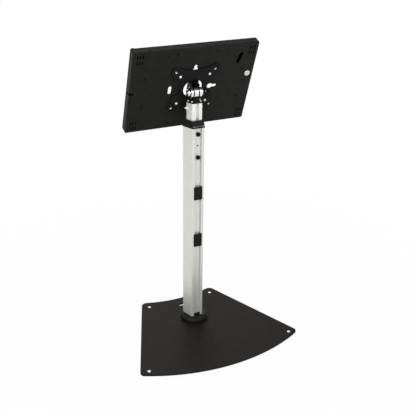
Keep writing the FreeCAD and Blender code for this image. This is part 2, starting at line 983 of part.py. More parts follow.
def make_vesa_plate():
    low_y = -plate_thickness
    solid = plate(plate_half_width * 2, plate_half_height * 2, plate_corner, low_y, 0)
    end_radius = dip_radius(plate_half_height - plate_end_waist, plate_end_dip_half)
    side_radius = dip_radius(plate_half_width - plate_side_waist, plate_side_dip_half)
    for side in (-1, 1):
        end = V(0, low_y, side * (plate_end_waist + end_radius))
        flank = V(side * (plate_side_waist + side_radius), low_y, 0)
        solid = solid.cut(cylinder(end_radius, plate_thickness, end, Y))
        solid = solid.cut(cylinder(side_radius, plate_thickness, flank, Y))
        notch = plate(plate_half_width, plate_notch_half * 2, plate_notch_corner, low_y, 0)
        notch.translate(X * side * (plate_notch_waist + plate_half_width / 2))
        solid = solid.cut(notch)
    lips = [edge for edge in solid.Edges if is_notch_lip(edge)]
    solid = solid.makeFillet(plate_notch_lip, lips)
    return cut_plate_holes(solid, low_y, 0, running_gap - bracket_screw_cover)


def is_notch_lip(edge):
    """Whether an edge runs through the plate where its side turns into a notch."""
    box = edge.BoundBox
    through = abs(box.YLength - plate_thickness) < 1e-4 and box.XLength < 1e-4
    outside = abs(box.Center.x) > plate_side_waist
    return through and outside and abs(abs(box.Center.z) - plate_notch_half) < 1e-4


def cut_plate_holes(solid, low_y, high_y, bracket_screw_end):
    depth = high_y - low_y
    solid = solid.cut(cylinder(cable_hole_radius, depth, V(0, low_y, 0), Y))
    for place in square(wide_pattern):
        solid = solid.cut(cylinder(wide_hole_radius, depth, place + Y * low_y, Y))
    for place in square(narrow_pattern):
        solid = solid.cut(cylinder(vesa_screw_radius + seat_gap, depth, place + Y * low_y, Y))
    for place in bracket_screw_places():
        solid = solid.cut(cylinder(
            bracket_screw_radius + seat_gap, bracket_screw_end - low_y, place + Y * low_y, Y))
    return solid


def make_vesa_screws():
    screws = []
    for place in square(narrow_pattern):
        screws.append(round_screw(
            vesa_screw_radius, plate_thickness + sheet + vesa_nut_height,
            vesa_screw_head_radius, vesa_screw_head_height, place, Y))
    return group(screws)


def make_vesa_nuts():
    nuts = []
    for place in square(narrow_pattern):
        start = place + Y * case_inside
        nut = cylinder(vesa_nut_radius, vesa_nut_height, start, -Y)
        nuts.append(nut.cut(cylinder(vesa_screw_radius + running_gap, vesa_nut_height, start, -Y)))
    return group(nuts)


# Tablet enclosure

def case_solid(low_y, high_y, shrink):
    width = case_width + hinge_side_extra - shrink * 2
    solid = plate(width, case_height - shrink * 2, case_corner - shrink, low_y, high_y)
    solid.translate(X * hinge_side_extra / 2)
    return solid


def rim_edges(solid, level):
    return [edge for edge in solid.Edges
            if abs(edge.BoundBox.YMin - level) < 1e-4 and abs(edge.BoundBox.YMax - level) < 1e-4]


def make_rear_shell():
    solid = case_solid(case_front, case_rear, 0)
    solid = solid.makeFillet(case_edge, rim_edges(solid, case_rear))
    solid = solid.cut(case_solid(case_front, case_inside, sheet))
    solid = solid.cut(block(V(-far, -far, -far), V(return_x, shell_edge, far)))
    corners = case_solid(case_front, rod_y + barrel_radius, 0)
    corners = corners.cut(block(V(-far, -far, -far), V(return_x, far, far)))
    reach = barrel_half + barrel_gap
    corners = corners.cut(block(V(0, -far, -reach), V(far, far, reach)))
    solid = solid.fuse(corners).removeSplitter()
    low_y = case_inside - over
    high_y = case_rear + over
    solid = cut_plate_holes(solid, low_y, high_y, high_y)
    solid = solid.cut(back_openings(low_y, high_y))
    for place in stud_places():
        solid = solid.cut(hole(stud_radius + seat_gap, sheet, place + Y * case_inside, Y))
    for x, z in spare_stud_holes:
        solid = solid.cut(hole(spare_stud_radius, sheet, V(x, case_inside, z), Y))
    solid = solid.cut(hole(lock_body_radius + seat_gap, sheet, V(lock_x, case_inside, lock_z), Y))
    rod = cylinder(rod_radius + running_gap, case_height, V(rod_x, rod_y, -case_height / 2), Z)
    return solid.cut(rod)


def back_openings(low_y, high_y):
    """Slots, keyholes, vents, camera opening and cable notch as one cutter."""
    depth = high_y - low_y
    shapes = []
    side_slot = pill(side_slot_width, side_slot_height, low_y, high_y)
    side_slot.translate(X * side_slot_x)
    shapes.append(side_slot)
    bottom_slot = pill(side_slot_width, side_slot_height, low_y, high_y)
    bottom_slot.rotate(V(0, 0, 0), Y, 90)
    bottom_slot.translate(Z * bottom_slot_z)
    shapes.append(bottom_slot)
    half = keyhole_slot_width / 2
    shapes.append(cylinder(keyhole_radius, depth, V(side_keyhole_x, low_y, 0), Y))
    shapes.append(cylinder(half, depth, V(-side_keyhole_end + half, low_y, 0), Y))
    shapes.append(block(V(-side_keyhole_end + half, low_y, -half), V(side_keyhole_x, high_y, half)))
    shapes.append(cylinder(keyhole_radius, depth, V(0, low_y, top_keyhole_z), Y))
    shapes.append(cylinder(half, depth, V(0, low_y, top_keyhole_end - half), Y))
    shapes.append(block(V(-half, low_y, top_keyhole_z), V(half, high_y, top_keyhole_end - half)))
    camera = pill(camera_width, camera_length, low_y, high_y)
    camera.rotate(V(0, 0, 0), Y, -camera_lean)
    camera.translate(V(camera_x, 0, camera_z))
    shapes.append(camera)
    for side in (-1, 1):
        for column in (-1, 0, 1):
            for row in vent_rows:
                vent = pill(vent_width, vent_height, low_y, high_y)
                vent.translate(V(side * vent_centre_x + column * vent_pitch, 0, row))
                shapes.append(vent)
    shapes.append(block(
        V(hinge_side_x - notch_reach, case_rear - notch_depth, -notch_height / 2),
        V(far, high_y, notch_height / 2)))
    return group(shapes)


def make_front_frame():
    solid = case_solid(case_front, door_edge, 0)
    solid = solid.makeFillet(case_edge, rim_edges(solid, case_front))
    solid = solid.cut(case_solid(door_inside, door_edge, sheet))
    solid = solid.cut(block(V(return_x - door_end_gap, -far, -far), V(far, far, far)))
    tongue = block(
        V(return_x - door_end_gap - over, case_front, -barrel_half), V(rod_x, door_inside, barrel_half))
    barrel = cylinder(barrel_radius, barrel_half * 2, V(rod_x, rod_y, -barrel_half), Z)
    catch = block(
        V(-case_width / 2 + sheet / 2, door_edge - catch_thickness, lock_z - catch_height / 2),
        V(-case_width / 2 + sheet + catch_reach, door_edge, lock_z + catch_height / 2))
    solid = solid.fuse(tongue).fuse(barrel).fuse(catch).removeSplitter()
    window = plate(window_width, window_height, window_corner, case_front - over, door_inside + over)
    solid = solid.cut(window)
    bore = cylinder(rod_radius + running_gap, case_height, V(rod_x, rod_y, -case_height / 2), Z)
    return solid.cut(bore)


def make_hinge_rod():
    half = case_height / 2 - rod_end_setback
    return cylinder(rod_radius, half * 2, V(rod_x, rod_y, -half), Z)


def make_bezel_gasket():
    outer = plate(window_width + gasket_width * 2, window_height + gasket_width * 2,
                  window_corner + gasket_width, door_inside, door_inside + gasket_thickness)
    return outer.cut(plate(window_width, window_height, window_corner, case_front, case_inside))


# Stops inside the enclosure

stop_top = door_inside + stop_top_gap


def stud_places():
    places = []
    for side in (-1, 1):
        for other in (-1, 1):
            places.append(V(side * (stop_half_width - side_stud_inset), 0, other * side_stud_z))
            places.append(V(other * end_stud_x, 0, side * (stop_half_height + end_stud_inset)))
    return places


def bored_for_studs(solid):
    for place in stud_places():
        solid = solid.cut(hole(stud_radius + seat_gap, sheet, place + Y * (case_inside - sheet), Y))
    return solid


def make_side_stops():
    half = side_stop_length / 2
    outer = stop_half_width + sheet
    foot = block(V(outer - stop_foot, case_inside - sheet, -half), V(outer, case_inside, half))
    flange = block(V(stop_half_width, stop_top, -half), V(outer, case_inside, half))
    stop = bored_for_studs(foot.fuse(flange).removeSplitter())
    return group([stop, mirrored(stop)])


def make_end_stops():
    half = end_stop_length / 2
    inner = stop_half_height
    foot = block(V(-half, case_inside - sheet, inner), V(half, case_inside, inner + stop_foot))
    flange = block(V(-half, stop_top, inner), V(half, case_inside, inner + sheet))
    stop = bored_for_studs(foot.fuse(flange).removeSplitter())
    return group([stop, stop.mirror(V(0, 0, 0), Z)])


def make_stop_foam():
    low_y = stop_top
    high_y = case_inside - sheet - stud_nut_height - foam_gap
    side_half = side_stop_length / 2
    end_half = end_stop_length / 2
    side = block(
        V(stop_half_width - foam_thickness, low_y, -side_half), V(stop_half_width, high_y, side_half))
    end = block(
        V(-end_half, low_y, stop_half_height - foam_thickness), V(end_half, high_y, stop_half_height))
    return group([side, mirrored(side), end, end.mirror(V(0, 0, 0), Z)])


def make_stop_studs():
    studs = []
    length = sheet * 2 + stud_nut_height
    for place in stud_places():
        head = cylinder(stud_head_radius, stud_head_height, place + Y * case_rear, Y)
        shank = cylinder(stud_radius, length, place + Y * case_rear, -Y)
        studs.append(head.fuse(shank).removeSplitter())
    return group(studs)


def make_stud_nuts():
    nuts = []
    for place in stud_places():
        start = place + Y * (case_inside - sheet)
        nut = hexagon(stud_nut_across, stud_nut_height, start, -Y)
        nuts.append(nut.cut(cylinder(stud_radius + running_gap, stud_nut_height, start, -Y)))
    return group(nuts)


def make_backing_pads():
    pads = []
    for x in (-backing_x, backing_x):
        for z in (-backing_z, backing_z):
            pads.append(cylinder(backing_radius, backing_height, V(x, case_inside, z), -Y))
    return group(pads)


# Cam lock in the back of the enclosure

lock_face = case_rear + lock_flange_height
cam_rear = door_edge - catch_thickness - cam_gap


def make_lock_barrel():
    flange = cylinder(lock_flange_radius, lock_flange_height, V(lock_x, case_rear, lock_z), Y)
    rim = [edge for edge in flange.Edges if abs(edge.CenterOfMass.y - lock_face) < 1e-4]
    flange = flange.makeFillet(lock_flange_height * head_rounding, rim[:1])
    body_end = cam_rear + cam_gap
    body = cylinder(lock_body_radius, case_rear - body_end, V(lock_x, body_end, lock_z), Y)
    bore = cylinder(lock_core_radius + running_gap, lock_face - body_end, V(lock_x, body_end, lock_z), Y)
    return flange.fuse(body).removeSplitter().cut(bore)


def make_lock_core():
    top = lock_face - lock_core_recess
    solid = cylinder(lock_core_radius, top - cam_rear, V(lock_x, cam_rear, lock_z), Y)
    slot = box_about(key_slot_width, key_slot_depth * 2, key_slot_length, V(lock_x, top, lock_z))
    hole = cylinder(cam_screw_radius + running_gap, cam_screw_radius * 3, V(lock_x, cam_rear, lock_z), Y)
    return solid.cut(slot).cut(hole)


def make_lock_nut():
    start = V(lock_x, case_inside, lock_z)
    nut = hexagon(lock_nut_across, lock_nut_height, start, -Y)
    return nut.cut(cylinder(lock_body_radius + running_gap, lock_nut_height, start, -Y))


def make_lock_cam():
    half = cam_width / 2
    solid = cylinder(half, cam_thickness, V(lock_x, cam_rear, lock_z), -Y)
    arm_end = V(lock_x - half, cam_rear - cam_thickness, lock_z - cam_length)
    solid = solid.fuse(block(arm_end, V(lock_x + half, cam_rear, lock_z)))
    hole = cylinder(cam_screw_radius + running_gap, cam_thickness, V(lock_x, cam_rear, lock_z), -Y)
    return solid.removeSplitter().cut(hole)


def make_cam_screw():
    seat = V(lock_x, cam_rear - cam_thickness, lock_z)
    return round_screw(
        cam_screw_radius, cam_thickness + cam_screw_radius * 3, cam_screw_head_radius,
        cam_screw_head_height, seat, -Y)


# Write every piece

save("base_plate", make_base_plate())
save("base_pads", make_base_pads())
save("base_bolts", make_base_bolts())
save("foot_collar", make_foot_collar())
save("foot_block", make_foot_block())
save("foot_grub_screws", make_foot_grub_screws())
save("outer_tube", make_outer_tube())
save("upper_glide", make_upper_glide())
save("top_collar", make_top_collar())
save("lock_inserts", make_lock_inserts())
save("upper_lock_screw", make_lock_screw(lock_heights()[0]))
save("lower_lock_screw", make_lock_screw(lock_heights()[1]))
save("upper_cable_clip", make_cable_clip(upper_clip_height))
save("lower_cable_clip", make_cable_clip(lower_clip_height))
save("inner_tube", make_inner_tube())
save("tail_glide", make_tail_glide())
save("stop_screws", make_stop_screws())
save("head_cap", make_head_cap())
save("cap_screws", make_cap_screws())
save("centre_knuckle", on_hinge(make_centre_knuckle()))
save("friction_washers", on_hinge(make_friction_washers()))
save("outer_knuckles", on_hinge(make_outer_knuckles()))
save("hinge_washers", on_hinge(make_hinge_washers()))
save("hinge_bolt", on_hinge(make_hinge_bolt()))
save("hinge_nut", on_hinge(make_hinge_nut()))
save("tilt_bracket", on_head(make_tilt_bracket()))
save("bracket_screws", on_head(make_bracket_screws()))
save("vesa_plate", on_head(make_vesa_plate()))
save("vesa_screws", on_head(make_vesa_screws()))
save("vesa_nuts", on_head(make_vesa_nuts()))
save("rear_shell", on_head(make_rear_shell()))
save("front_frame", on_head(make_front_frame()))
save("door_hinge_rod", on_head(make_hinge_rod()))
save("bezel_gasket", on_head(make_bezel_gasket()))
save("side_stops", on_head(make_side_stops()))
save("end_stops", on_head(make_end_stops()))
save("stop_foam", on_head(make_stop_foam()))
save("stop_studs", on_head(make_stop_studs()))
save("stud_nuts", on_head(make_stud_nuts()))
save("backing_pads", on_head(make_backing_pads()))
save("lock_barrel", on_head(make_lock_barrel()))
save("lock_core", on_head(make_lock_core()))
save("lock_nut", on_head(make_lock_nut()))
save("lock_cam", on_head(make_lock_cam()))
save("cam_screw", on_head(make_cam_screw()))
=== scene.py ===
# %% [markdown]
# # A tablet kiosk floor stand
# The stand is a steel base plate, an aluminium column with a sliding inner tube, a
# chromed tilt hinge and a folded steel enclosure that locks a tablet in.
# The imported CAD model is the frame: it gives every size and place, and each piece
# below takes its place from it. The work here is surfaces, softened edges and turned
# parts. Lengths are in metres: +Z is up, the screen faces -Y and +X is on the left of
# the photograph, which looks at the back.

# %% Load the frame
import json
import math

import bmesh
import bpy
from mathutils import Matrix, Vector


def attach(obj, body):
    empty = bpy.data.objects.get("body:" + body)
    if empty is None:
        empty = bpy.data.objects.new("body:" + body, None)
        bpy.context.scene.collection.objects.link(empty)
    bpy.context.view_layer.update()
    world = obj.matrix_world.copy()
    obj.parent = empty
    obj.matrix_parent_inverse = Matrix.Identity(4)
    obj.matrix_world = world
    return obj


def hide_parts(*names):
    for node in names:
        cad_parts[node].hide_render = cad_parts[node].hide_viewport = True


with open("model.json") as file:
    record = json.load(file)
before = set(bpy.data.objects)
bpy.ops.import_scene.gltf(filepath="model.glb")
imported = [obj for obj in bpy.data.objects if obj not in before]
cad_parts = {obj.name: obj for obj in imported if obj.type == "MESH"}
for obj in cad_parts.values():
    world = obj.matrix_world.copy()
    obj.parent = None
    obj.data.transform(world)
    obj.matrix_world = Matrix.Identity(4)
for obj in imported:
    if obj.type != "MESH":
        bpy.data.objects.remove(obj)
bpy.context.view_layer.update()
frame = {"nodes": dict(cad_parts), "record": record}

MM = 0.001

# %% [markdown]
# ## Camera
# The photograph looks down at the back of the stand from its left. The camera's place
# was solved from the mount's 75 mm and 100 mm hole squares and the base's corners.
# A camera looks along its own -Z, so it is built from three turns: the compass
# direction about Z, the tilt about X and a small roll about its own axis. A long lens
# is used, as in a product photograph, so upright lines stay almost parallel.

# %% Camera
SENSOR = 36.0
IMAGE_WIDTH = 416
FOCAL_PIXELS = 715.0
CAMERA_PLACE = (0.69424, 1.47695, 1.10256)
COMPASS = 153.66
LOOKS_DOWN = 25.26
ROLL = 0.92
camera_data = bpy.data.cameras.new("camera")
camera_data.sensor_fit = "HORIZONTAL"
camera_data.sensor_width = SENSOR
camera_data.lens = SENSOR * FOCAL_PIXELS / IMAGE_WIDTH
camera = bpy.data.objects.new("camera", camera_data)
bpy.context.scene.collection.objects.link(camera)
bpy.context.scene.camera = camera
camera.matrix_world = (
    Matrix.Translation(CAMERA_PLACE)
    @ Matrix.Rotation(math.radians(COMPASS), 4, "Z")
    @ Matrix.Rotation(math.radians(90 - LOOKS_DOWN), 4, "X")
    @ Matrix.Rotation(math.radians(ROLL), 4, "Z")
)
print("lens in mm:", round(camera_data.lens, 2))

# %% [markdown]
# ## Floor, world and lamps
# A product photograph on white has a lit sweep behind it. Here the white comes from
# Light Path: the world is white to the camera and in reflections, and plainer for the
# light it sheds, so the background is white and the pieces aren't overlit. The floor
# does the same, but near the stand it mixes in a little of its own lit surface, which
# keeps the shadow. A real studio is white round about and dark at the ceiling, and
# polished chrome shows both, so what a reflection sees fades to grey high overhead.
# Three soft lamps shape the metal: a large key, a fill and one from the front.

# %% World
def light_path_switch(nodes, links):
    """1 where the camera, a mirror or a glass looks, and 0 for the light that falls."""
    path = nodes.new("ShaderNodeLightPath")
    first = nodes.new("ShaderNodeMath")
    first.operation = "MAXIMUM"
    links.new(path.outputs["Is Camera Ray"], first.inputs[0])
    links.new(path.outputs["Is Glossy Ray"], first.inputs[1])
    second = nodes.new("ShaderNodeMath")
    second.operation = "MAXIMUM"
    links.new(first.outputs[0], second.inputs[0])
    links.new(path.outputs["Is Transmission Ray"], second.inputs[1])
    return second.outputs[0]


SKY_LIGHT = 0.5
CEILING_STARTS = 0.6
CEILING_FULL = 0.82
CEILING = 0.14
world = bpy.data.worlds.new("white studio")
bpy.context.scene.world = world
world.use_nodes = True
sky_nodes = world.node_tree.nodes
sky_links = world.node_tree.links
shed = sky_nodes["Background"]
shed.inputs["Color"].default_value = (1, 1, 1, 1)
shed.inputs["Strength"].default_value = SKY_LIGHT
seen = sky_nodes.new("ShaderNodeBackground")
seen.inputs["Strength"].default_value = 1.0
way = sky_nodes.new("ShaderNodeTexCoord")
parts = sky_nodes.new("ShaderNodeSeparateXYZ")
overhead = sky_nodes.new("ShaderNodeMapRange")
overhead.interpolation_type = "SMOOTHSTEP"
overhead.inputs["From Min"].default_value = CEILING_STARTS
overhead.inputs["From Max"].default_value = CEILING_FULL
overhead.inputs["To Min"].default_value = 1.0
overhead.inputs["To Max"].default_value = CEILING
sky_links.new(way.outputs["Generated"], parts.inputs[0])
sky_links.new(parts.outputs["Z"], overhead.inputs["Value"])
sky_links.new(overhead.outputs["Result"], seen.inputs["Color"])
sky_mix = sky_nodes.new("ShaderNodeMixShader")
sky_links.new(light_path_switch(sky_nodes, sky_links), sky_mix.inputs[0])
sky_links.new(shed.outputs[0], sky_mix.inputs[1])
sky_links.new(seen.outputs[0], sky_mix.inputs[2])
sky_links.new(sky_mix.outputs[0], sky_nodes["World Output"].inputs["Surface"])
print("world:", world.name)

# %% Floor
FLOOR_SIZE = 40.0
FLOOR_GREY = 0.82
GLOW_STARTS = 0.35
GLOW_ENDS = 1.1
GLOW_NEAR = 0.94
GLOW_FAR = 1.0
floor_shape = bmesh.new()
bmesh.ops.create_grid(floor_shape, x_segments=1, y_segments=1, size=FLOOR_SIZE / 2)
floor_mesh = bpy.data.meshes.new("floor")
floor_shape.to_mesh(floor_mesh)
floor_shape.free()
floor = bpy.data.objects.new("floor", floor_mesh)
bpy.context.scene.collection.objects.link(floor)

floor_paint = bpy.data.materials.new("pale sweep")
floor_paint.use_nodes = True
floor_nodes = floor_paint.node_tree.nodes
floor_links = floor_paint.node_tree.links
lit = floor_nodes["Principled BSDF"]
lit.inputs["Base Color"].default_value = (FLOOR_GREY, FLOOR_GREY, FLOOR_GREY, 1)
lit.inputs["Roughness"].default_value = 0.9
lit.inputs["Specular IOR Level"].default_value = 0.1
glow = floor_nodes.new("ShaderNodeEmission")
glow.inputs["Color"].default_value = (1, 1, 1, 1)
spot = floor_nodes.new("ShaderNodeTexCoord")
distance = floor_nodes.new("ShaderNodeVectorMath")
distance.operation = "LENGTH"
fade = floor_nodes.new("ShaderNodeMapRange")
fade.inputs["From Min"].default_value = GLOW_STARTS
fade.inputs["From Max"].default_value = GLOW_ENDS
fade.inputs["To Min"].default_value = GLOW_NEAR
fade.inputs["To Max"].default_value = GLOW_FAR
share = floor_nodes.new("ShaderNodeMath")
share.operation = "MULTIPLY"
floor_links.new(spot.outputs["Object"], distance.inputs[0])
floor_links.new(distance.outputs["Value"], fade.inputs["Value"])
floor_links.new(fade.outputs["Result"], share.inputs[1])
floor_mix = floor_nodes.new("ShaderNodeMixShader")
floor_links.new(light_path_switch(floor_nodes, floor_links), share.inputs[0])
floor_links.new(share.outputs[0], floor_mix.inputs[0])
floor_links.new(lit.outputs[0], floor_mix.inputs[1])
floor_links.new(glow.outputs[0], floor_mix.inputs[2])
floor_links.new(floor_mix.outputs[0], floor_nodes["Material Output"].inputs["Surface"])
floor_mesh.materials.append(floor_paint)
print("floor:", FLOOR_SIZE, "m across")

# %% Lamps
def soft_lamp(name, place, aim, size, power):
    """A square area lamp that faces a point."""
    data = bpy.data.lights.new(name, "AREA")
    data.shape = "SQUARE"
    data.size = size
    data.energy = power
    lamp = bpy.data.objects.new(name, data)
    bpy.context.scene.collection.objects.link(lamp)
    away = Vector(place) - Vector(aim)
    turn = away.to_track_quat("Z", "Y").to_matrix().to_4x4()
    lamp.matrix_world = Matrix.Translation(place) @ turn


MIDDLE = (0, 0, 0.4)
soft_lamp("key", (2.2, 1.6, 2.4), MIDDLE, 1.6, 60)
soft_lamp("fill", (-1.2, 2.5, 1.6), MIDDLE, 1.8, 24)
soft_lamp("front", (-0.6, -2.6, 1.8), MIDDLE, 1.8, 30)
print("lamps:", len(bpy.data.lights))

# %% [markdown]
# ## How a finish is built
# Each finish is one Principled shader with noise on Object coordinates, which are
# metres here, so a noise scale of 1000 gives marks about a millimetre wide. Noise goes
# to three places: a colour ramp for slight variation, a narrow range of roughness,
# and a shallow bump. Numbers that are the same all over are set on the shader's own
# sockets. A stretched mapping turns round noise into lines, as on drawn metal.

# %% Helpers for finishes
def new_finish(name, roughness, metallic=0.0, specular=0.5):
    """A material with its shader and its Object coordinates ready."""
    finish = bpy.data.materials.new(name)
    finish.use_nodes = True
    nodes = finish.node_tree.nodes
    shader = nodes["Principled BSDF"]
    shader.inputs["Roughness"].default_value = roughness
    shader.inputs["Metallic"].default_value = metallic
    shader.inputs["Specular IOR Level"].default_value = specular
    place = nodes.new("ShaderNodeTexCoord")
    return {"material": finish, "nodes": nodes, "links": finish.node_tree.links,
            "shader": shader, "place": place.outputs["Object"]}


def noise(kit, scale, detail=3.0, stretch=(1, 1, 1)):
    """Noise at a scale per metre, drawn out along the axes whose stretch is small."""
    mapping = kit["nodes"].new("ShaderNodeMapping")
    mapping.inputs["Scale"].default_value = stretch
    kit["links"].new(kit["place"], mapping.inputs["Vector"])
    texture = kit["nodes"].new("ShaderNodeTexNoise")
    texture.inputs["Scale"].default_value = scale
    texture.inputs["Detail"].default_value = detail
    kit["links"].new(mapping.outputs["Vector"], texture.inputs["Vector"])
    return texture.outputs["Fac"]


def colours(kit, factor, dark, light):
    """The colour runs from dark to light over the middle of the noise."""
    ramp = kit["nodes"].new("ShaderNodeValToRGB")
    low, high = ramp.color_ramp.elements
    low.position, high.position = 0.35, 0.65
    low.color = (*dark, 1)
    high.color = (*light, 1)
    kit["links"].new(factor, ramp.inputs["Fac"])
    kit["links"].new(ramp.outputs["Color"], kit["shader"].inputs["Base Color"])


def roughness_range(kit, factor, smooth, rough):
    scaled = kit["nodes"].new("ShaderNodeMapRange")
    scaled.inputs["From Min"].default_value = 0.3
    scaled.inputs["From Max"].default_value = 0.7
    scaled.inputs["To Min"].default_value = smooth
    scaled.inputs["To Max"].default_value = rough
    kit["links"].new(factor, scaled.inputs["Value"])
    kit["links"].new(scaled.outputs["Result"], kit["shader"].inputs["Roughness"])


def bumps(kit, factor, height_mm, strength=1.0):
    bump = kit["nodes"].new("ShaderNodeBump")
    bump.inputs["Strength"].default_value = strength
    bump.inputs["Distance"].default_value = height_mm * MM
    kit["links"].new(factor, bump.inputs["Height"])
    kit["links"].new(bump.outputs["Normal"], kit["shader"].inputs["Normal"])


def grains(size_mm):
    """The noise scale that gives marks of a size."""
    return 1 / (size_mm * MM)


def powder_coat(name, dark, light, rough, grain_mm, specular):
    """Baked powder paint: a fine orange peel over slightly uneven colour."""
    kit = new_finish(name, rough, 0.0, specular)
    colours(kit, noise(kit, 60, 4), dark, light)
    peel = noise(kit, grains(grain_mm), 3)
    roughness_range(kit, peel, rough - 0.06, rough + 0.06)
    bumps(kit, peel, height_mm=0.05, strength=0.5)
    return kit["material"]


# %% [markdown]
# ## Painted steel
# The enclosure, the base and the neck are steel with baked powder paint. Powder melts
# into a skin with a fine peel, a bit under a millimetre from hill to hill. The
# enclosure is a plain black, the base a warmer charcoal with a coarser texture, and
# the neck and mounting plate a smoother and deeper black. That deeper black is partly
# painted shade, for the tilt bracket that sits in shadow behind the plate's hole. Black
# powder sends back about one percent of the light, and its skin shines only faintly.

# %% Painted steel
CASE_PAINT = powder_coat(
    "case powder coat", (0.0086, 0.0086, 0.0072), (0.0112, 0.0112, 0.0095),
    rough=0.55, grain_mm=0.7, specular=0.11)
BASE_PAINT = powder_coat(
    "base powder coat", (0.0108, 0.0087, 0.0073), (0.0128, 0.0103, 0.0088),
    rough=0.62, grain_mm=0.9, specular=0.09)
# The neck paint is darker than the case's: partly painted shade for the recessed tilt bracket.
NECK_PAINT_AND_SHADE = powder_coat(
    "neck powder coat and painted shade", (0.0072, 0.0072, 0.0070), (0.0092, 0.0092, 0.0089),
    rough=0.44, grain_mm=0.6, specular=0.07)
print("paints:", CASE_PAINT.name, BASE_PAINT.name, NECK_PAINT_AND_SHADE.name)

# %% [markdown]
# ## Extruded aluminium
# The column's tubes are pushed through a die, so fine lines run their whole length,
# and satin anodising dulls them to a soft grey. Noise stretched along Z gives the
# lines. They go to the bump and to the roughness, and hardly change the colour. The
# oxide scatters light much as paint does, so the shader is only half metallic. The
# inner tube's is the paler of the two: painted light, which lifts it out of the shade
# that the enclosure casts on it.

# %% Extruded aluminium
def satin_aluminium(name, dark, light):
    kit = new_finish(name, 0.38, metallic=0.5)
    lines = noise(kit, 900, 2, stretch=(1, 1, 0.004))
    cloud = noise(kit, 14, 3)
    colours(kit, cloud, dark, light)
    roughness_range(kit, lines, 0.34, 0.44)
    bumps(kit, lines, height_mm=0.02, strength=0.35)
    return kit["material"]


ALUMINIUM = satin_aluminium("satin aluminium", (0.65, 0.65, 0.625), (0.68, 0.68, 0.655))
# The inner tube's paler aluminium is painted light, lifting it out of the shade under the
# enclosure.
MAST_ALUMINIUM_PAINTED_LIGHT = satin_aluminium("satin aluminium with painted light", (0.765, 0.76, 0.735), (0.80, 0.795, 0.77))
print("metal:", ALUMINIUM.name, MAST_ALUMINIUM_PAINTED_LIGHT.name)

# %% [markdown]
# ## Plated metal
# Chrome is nearly a mirror, with faint wiping marks that only roughness shows. Nickel
# and machined steel are duller, with a fine grain. All three are metallic shaders, where
# the base colour is the colour of the reflection. The zinc is near white and less than
# half metallic, so it stays white in every direction: a painted highlight, standing in
# for the lamp's glints on the domed screw heads. Black oxide isn't a mirror, so it is
# built like a dark paint.

# %% Plated metal
def plated(name, colour, smooth, rough, grain_mm, bump_mm, metallic=1.0):
    kit = new_finish(name, smooth, metallic)
    cloud = noise(kit, 90, 3)
    darker = tuple(part * 0.93 for part in colour)
    colours(kit, cloud, darker, colour)
    roughness_range(kit, noise(kit, 260, 4), smooth, rough)
    bumps(kit, noise(kit, grains(grain_mm), 2), bump_mm, 0.3)
    return kit["material"]


CHROME = plated("chrome", (0.82, 0.83, 0.85), 0.07, 0.13, grain_mm=2.5, bump_mm=0.001)
# Painted highlight: the zinc is near white and less than half metallic, so the screw heads show a
# glint from every side.
ZINC_WITH_PAINTED_GLINT = plated(
    "zinc with painted glint", (0.92, 0.92, 0.91), 0.2, 0.3, grain_mm=0.4, bump_mm=0.01, metallic=0.4)
NICKEL = plated("satin nickel", (0.72, 0.70, 0.66), 0.2, 0.32, grain_mm=0.4, bump_mm=0.01)
FOOT_STEEL = plated("machined steel", (0.50, 0.50, 0.51), 0.3, 0.45, grain_mm=0.5, bump_mm=0.02)
# This black also goes on the hinge discs' flat sides, where it is painted shade between the discs.
BLACK_STEEL_AND_DISC_SHADE = powder_coat(
    "black oxide steel", (0.003, 0.003, 0.003), (0.0045, 0.0045, 0.0045),
    rough=0.45, grain_mm=0.3, specular=0.06)
print("plated:", CHROME.name, ZINC_WITH_PAINTED_GLINT.name, NICKEL.name)

# %% [markdown]
# ## Plastic, rubber and foam
# The collars and cable clips are moulded in black nylon with a spark-eroded grain. The
# glides are a smoother plastic, the pads under the base rubber, and the strips that
# touch the tablet a closed cell foam. Foam gets round cells from a Voronoi texture,
# and the others get noise at their own grain size.

# %% Plastic, rubber and foam
def moulded(name, dark, light, rough, grain_mm, bump_mm, specular):
    kit = new_finish(name, rough, 0.0, specular)
    colours(kit, noise(kit, 120, 3), dark, light)
    grain = noise(kit, grains(grain_mm), 2)
    roughness_range(kit, grain, rough - 0.07, rough + 0.07)
    bumps(kit, grain, bump_mm, 0.5)
    return kit["material"]


def foam():
    kit = new_finish("closed cell foam", 0.9, 0.0, 0.2)
    colours(kit, noise(kit, 200, 3), (0.006, 0.006, 0.006), (0.012, 0.012, 0.012))
    cells = kit["nodes"].new("ShaderNodeTexVoronoi")
    cells.inputs["Scale"].default_value = 1400
    kit["links"].new(kit["place"], cells.inputs["Vector"])
    bumps(kit, cells.outputs["Distance"], 0.15, 0.6)
    return kit["material"]


NYLON = moulded(
    "black nylon", (0.0062, 0.0058, 0.0062), (0.0086, 0.0082, 0.0088),
    rough=0.5, grain_mm=0.5, bump_mm=0.03, specular=0.11)
GLIDE = moulded(
    "glide plastic", (0.014, 0.014, 0.014), (0.02, 0.02, 0.02),
    rough=0.42, grain_mm=0.8, bump_mm=0.01, specular=0.4)
RUBBER = moulded(
    "rubber", (0.006, 0.006, 0.006), (0.010, 0.010, 0.010),
    rough=0.75, grain_mm=0.6, bump_mm=0.03, specular=0.3)
FOAM = foam()
print("soft and moulded:", NYLON.name, GLIDE.name, RUBBER.name, FOAM.name)

FINISHES = {
    "base_powder_coat": BASE_PAINT, "case_powder_coat": CASE_PAINT, "neck_powder_coat": NECK_PAINT_AND_SHADE,
    "satin_aluminium": ALUMINIUM, "chrome": CHROME, "zinc_steel": ZINC_WITH_PAINTED_GLINT, "lock_nickel": NICKEL,
    "foot_steel": FOOT_STEEL, "black_steel": BLACK_STEEL_AND_DISC_SHADE, "black_plastic": NYLON,
    "glide_plastic": GLIDE, "rubber_pad": RUBBER, "black_foam": FOAM,
}

